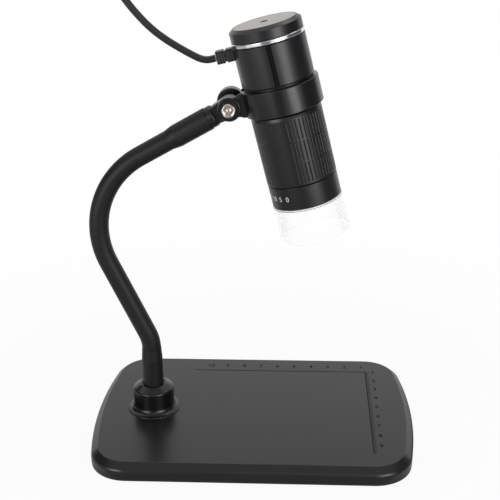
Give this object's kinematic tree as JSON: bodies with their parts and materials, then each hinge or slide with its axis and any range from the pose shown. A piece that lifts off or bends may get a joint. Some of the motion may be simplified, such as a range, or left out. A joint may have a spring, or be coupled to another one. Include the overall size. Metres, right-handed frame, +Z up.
{
  "type": "usb digital microscope",
  "caption": "Barrel-shaped USB microscope camera with a focus ring and LED ring, clamped to a bendable neck on a flat measuring base, with its USB cable and plug.",
  "frame": {"origin": "on the table under the middle of the base, at the bottom of its feet", "axes": "+X along the base from the neck's end to the free end, +Y from the ruled front edge's side to the back, +Z up"},
  "size_m": [0.2886, 0.121, 0.2576],
  "materials": {
    "base_plastic": "satin",
    "black_plastic": "satin",
    "gloss_black_plastic": "gloss",
    "cap_plastic": "satin",
    "clear_plastic": "gloss",
    "clear_glass": "gloss",
    "board_green": "satin",
    "black_rubber": "matte",
    "black_metal": "satin",
    "steel": "satin",
    "chrome": "polished"
  },
  "bodies": {
    "stand": {"base_top_shell": "base_plastic", "base_bottom_plate": "black_plastic", "ballast_plate": "steel", "base_screw_1": "steel", "base_screw_2": "steel", "base_screw_3": "steel", "base_screw_4": "steel", "rubber_foot_1": "black_rubber", "rubber_foot_2": "black_rubber", "rubber_foot_3": "black_rubber", "rubber_foot_4": "black_rubber", "neck_collar": "gloss_black_plastic", "neck_sleeve_lower": "black_metal", "collar_washer": "steel", "collar_nut": "steel", "neck_root": "black_rubber", "cable": "black_rubber", "cable_coil": "black_rubber", "cable_tie": "black_plastic", "usb_plug_body": "black_plastic", "usb_plug_shell": "chrome"},
    "neck_lower_stretch": {"neck_lower": "black_rubber"},
    "neck_middle_stretch": {"neck_middle": "black_rubber"},
    "neck_upper_stretch": {"neck_upper": "black_rubber", "neck_sleeve_upper": "black_metal", "neck_eye": "black_metal"},
    "clamp": {"clamp_ring": "gloss_black_plastic", "hinge_bolt": "chrome", "hinge_washer": "steel"},
    "thumb_nut": {"hinge_thumb_nut": "black_plastic"},
    "barrel": {"barrel_housing": "black_plastic", "top_trim_ring": "chrome", "top_cap": "cap_plastic", "indicator_lens": "gloss_black_plastic", "nose_ring": "black_plastic", "nose_trim_ring": "chrome", "led_board": "board_green", "sensor_board": "board_green", "cable_gland": "black_rubber"},
    "focus": {"focus_ring": "black_plastic"},
    "lens": {"lens_carrier": "black_plastic", "lens_glass": "clear_glass"},
    "nose_cap": {"clear_cap": "clear_plastic"}
  },
  "joints": [
    {"name": "neck_lower_bend", "type": "hinge", "parent": "stand", "child": "neck_lower_stretch", "pos_m": [-0.05804, 0, 0.05542], "axis": [0, 1, 0], "range_deg": [-24, 25], "deforming": ["cable"]},
    {"name": "neck_side_bend", "type": "hinge", "parent": "neck_lower_stretch", "child": "neck_middle_stretch", "pos_m": [-0.06733, 0, 0.07591], "axis": [0.9107, 0, 0.4131], "range_deg": [-30, 30], "deforming": ["cable"]},
    {"name": "neck_upper_bend", "type": "hinge", "parent": "neck_middle_stretch", "child": "neck_upper_stretch", "pos_m": [-0.07843, 0, 0.1297], "axis": [0, 1, 0], "range_deg": [-30, 30], "deforming": ["cable"]},
    {"name": "head_tilt", "type": "hinge", "parent": "neck_upper_stretch", "child": "clamp", "pos_m": [-0.01078, 0, 0.18138], "axis": [0, 1, 0], "range_deg": [-45, 25], "deforming": ["cable"]},
    {"name": "thumb_nut_turn", "type": "hinge", "parent": "clamp", "child": "thumb_nut", "pos_m": [-0.01078, 0, 0.18138], "axis": [0, 1, 0], "range_deg": [-180, 180]},
    {"name": "barrel_turn", "type": "hinge", "parent": "clamp", "child": "barrel", "pos_m": [0.01527, 0, 0.18768], "axis": [-0.2351, 0, 0.972], "range_deg": [-90, 90], "deforming": ["cable"]},
    {"name": "focus_turn", "type": "hinge", "parent": "barrel", "child": "focus", "pos_m": [0.01527, 0, 0.18768], "axis": [-0.2351, 0, 0.972], "range_deg": [-150, 150]},
    {"name": "lens_slide", "type": "slide", "parent": "barrel", "child": "lens", "axis": [-0.2351, 0, 0.972], "range_m": [-0.0035, 0.0035]},
    {"name": "clear_cap_pull", "type": "slide", "parent": "barrel", "child": "nose_cap", "axis": [0.2351, 0, -0.972], "range_m": [0, 0.02]}
  ],
  "couplings": [
    {"joint": "lens_slide", "follows": "focus_turn", "m_per_rad": 0.0013369}
  ]
}
